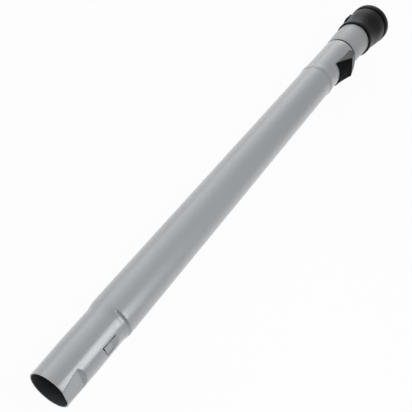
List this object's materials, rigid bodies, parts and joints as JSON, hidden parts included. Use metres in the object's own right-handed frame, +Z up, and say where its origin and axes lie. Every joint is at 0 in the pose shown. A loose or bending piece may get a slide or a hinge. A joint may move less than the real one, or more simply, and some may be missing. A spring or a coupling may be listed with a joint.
{
  "type": "telescopic vacuum wand",
  "caption": "Two-tube telescopic suction wand with a spigot for a floor tool, a sliding release trigger and a latched socket for a hose handle.",
  "frame": {"origin": "centre of the spigot's mouth, on the tube's axis", "axes": "+X along the wand from the spigot's mouth to the hose socket, +Z up as the wand lies, the trigger on the -Y side and turned up by 40 degrees, the latch opposite it and touching the floor"},
  "size_m": [0.6205, 0.0513, 0.05],
  "materials": {
    "painted_steel": "satin silver-grey lacquer",
    "plated_steel": "bright plated",
    "grey_plastic": "satin grey moulding",
    "black_plastic": "satin black moulding",
    "steel": "ground",
    "felt": "pressed felt",
    "black_rubber": "matt"
  },
  "bodies": {
    "outer": {"outer_tube": "painted_steel", "guide_bush": "black_plastic", "wiper_ring": "felt"},
    "inner": {"inner_tube": "plated_steel", "tail_bush": "black_plastic", "tail_seal": "felt", "cuff": "grey_plastic", "coupler_sleeve": "black_plastic", "mouth_ring": "black_plastic", "socket_seal": "black_rubber", "latch_pin": "steel"},
    "trigger": {"release_trigger": "black_plastic", "trigger_spring": "steel"},
    "roller": {"lock_roller": "steel"},
    "latch": {"hose_latch": "black_plastic", "latch_spring": "steel"}
  },
  "joints": [
    {"name": "telescope", "type": "slide", "parent": "outer", "child": "inner", "axis": [1, 0, 0], "range_m": [0, 0.348]},
    {"name": "trigger_slide", "type": "slide", "parent": "outer", "child": "trigger", "axis": [1, 0, 0], "range_m": [0, 0.006], "stiffness_N_per_m": 700, "springref_m": -0.004, "deforming": ["trigger_spring"]},
    {"name": "roller_lift", "type": "slide", "parent": "outer", "child": "roller", "axis": [0, -0.766, 0.6428], "range_m": [0, 0.00175]},
    {"name": "latch_hinge", "type": "hinge", "parent": "inner", "child": "latch", "pos_m": [0.59034, 0.01484, -0.01245], "axis": [0, -0.6428, -0.766], "range_deg": [0, 5], "stiffness_Nm_per_rad": 0.4, "springref_deg": -5.73, "deforming": ["latch_spring"]}
  ],
  "couplings": [
    {"joint": "roller_lift", "follows": "trigger_slide", "ratio": 0.29167}
  ]
}
